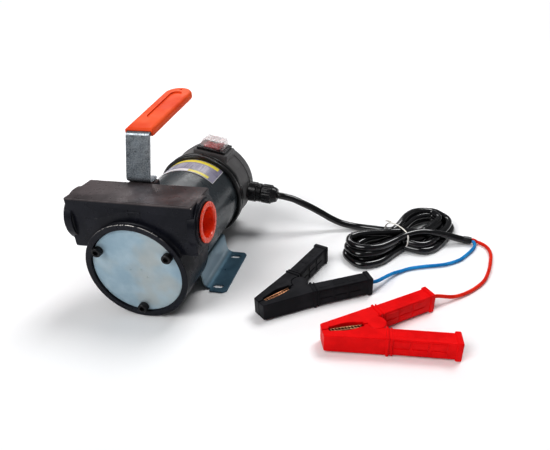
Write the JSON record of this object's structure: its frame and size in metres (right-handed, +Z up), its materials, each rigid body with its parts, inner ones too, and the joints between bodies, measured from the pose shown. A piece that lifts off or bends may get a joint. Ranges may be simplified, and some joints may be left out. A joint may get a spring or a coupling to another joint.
{
  "type": "fluid transfer pump",
  "caption": "Self-priming battery-powered fluid transfer pump: round vane chamber, cross ports, motor, carry handle, foot bracket, switch and clamp lead.",
  "frame": {"origin": "on the floor under the middle of the pump's own box, the lead and clamps left out", "axes": "+X out of the right-hand port, towards the lead; +Y from the cover back along the motor; +Z up"},
  "size_m": [0.4485, 0.2915, 0.1989],
  "materials": {
    "black_cast": "black enamel over an as-cast iron body",
    "zinc_plate": "blue-white zinc plate on pressed steel",
    "dark_steel": "black oxide",
    "bright_steel": "ground steel",
    "motor_paint": "gloss dark grey paint",
    "grey_plastic": "matt moulded plastic",
    "black_plastic": "satin moulded plastic",
    "black_rubber": "satin rubber",
    "orange_vinyl": "dipped orange vinyl",
    "plug_orange": "orange polyethylene",
    "switch_red": "translucent red",
    "clear_vinyl": "clear soft vinyl",
    "label_film": "printed film",
    "graphite": "carbon graphite",
    "copper": "copper plate",
    "ferrite": "sintered ferrite",
    "cable_black": "glossy black sheath",
    "wire_blue": "blue insulation",
    "wire_red": "red insulation",
    "clamp_red": "red moulded plastic",
    "clamp_black": "black moulded plastic",
    "tie_white": "white plastic-coated wire"
  },
  "bodies": {
    "pump": {"black_clamp_fixed_jaw": "copper", "black_clamp_fixed_shell": "clamp_black", "black_clamp_pin": "copper", "black_clamp_spring": "bright_steel", "blue_wire": "wire_blue", "brush_left": "graphite", "brush_right": "graphite", "bypass_spring": "bright_steel", "cable_hank": "cable_black", "cable_sleeve": "black_rubber", "cable_tail": "cable_black", "cover_gasket": "black_rubber", "cover_screw_1": "dark_steel", "cover_screw_2": "dark_steel", "cover_screw_3": "dark_steel", "data_label": "label_film", "front_bearing": "bright_steel", "front_cover": "zinc_plate", "gland_body": "black_plastic", "gland_nut": "black_plastic", "handle_grip": "orange_vinyl", "handle_screw": "dark_steel", "handle_strap": "zinc_plate", "hank_tie": "tie_white", "magnet_left": "ferrite", "magnet_right": "ferrite", "motor_can": "motor_paint", "motor_flange": "black_cast", "mounting_bracket": "zinc_plate", "pump_body": "black_cast", "rear_bearing": "bright_steel", "rear_end_plate": "black_plastic", "rear_housing": "grey_plastic", "rear_seal_ring": "black_rubber", "red_clamp_fixed_jaw": "copper", "red_clamp_fixed_shell": "clamp_red", "red_clamp_pin": "copper", "red_clamp_spring": "bright_steel", "red_wire": "wire_red", "shaft_seal": "black_rubber", "supply_cable": "cable_black", "switch_boot": "clear_vinyl", "switch_housing": "black_plastic"},
    "rotor": {"pump_rotor": "bright_steel", "vane_1": "graphite", "vane_2": "graphite", "vane_3": "graphite", "vane_4": "graphite", "motor_shaft": "bright_steel", "armature": "dark_steel", "commutator": "copper"},
    "rocker": {"switch_rocker": "switch_red"},
    "right_plug": {"right_port_plug": "plug_orange"},
    "left_plug": {"left_port_plug": "plug_orange"},
    "poppet": {"bypass_poppet": "bright_steel"},
    "black_lever": {"black_clamp_moving_shell": "clamp_black", "black_clamp_moving_jaw": "copper"},
    "red_lever": {"red_clamp_moving_shell": "clamp_red", "red_clamp_moving_jaw": "copper"}
  },
  "joints": [
    {"name": "rotor_spin", "type": "hinge", "parent": "pump", "child": "rotor", "pos_m": [0, 0, 0.0605], "axis": [0, 1, 0], "continuous": true},
    {"name": "rocker_tilt", "type": "hinge", "parent": "pump", "child": "rocker", "pos_m": [0.01486, 0.0865, 0.11863], "axis": [0, 1, 0], "range_deg": [0, 20]},
    {"name": "right_plug_pull", "type": "slide", "parent": "pump", "child": "right_plug", "axis": [1, 0, 0], "range_m": [0, 0.022]},
    {"name": "left_plug_pull", "type": "slide", "parent": "pump", "child": "left_plug", "axis": [-1, 0, 0], "range_m": [0, 0.022]},
    {"name": "poppet_lift", "type": "slide", "parent": "pump", "child": "poppet", "axis": [0, 0, 1], "range_m": [0, 0.004], "stiffness_N_per_m": 2500, "deforming": ["bypass_spring"]},
    {"name": "black_clamp_squeeze", "type": "hinge", "parent": "pump", "child": "black_lever", "pos_m": [0.155, -0.0565, 0.0114], "axis": [0, 0, -1], "range_deg": [0, 20], "stiffness_Nm_per_rad": 0.8},
    {"name": "red_clamp_squeeze", "type": "hinge", "parent": "pump", "child": "red_lever", "pos_m": [0.2409, -0.1085, 0.0114], "axis": [0, 0, 1], "range_deg": [0, 20], "stiffness_Nm_per_rad": 0.8}
  ]
}
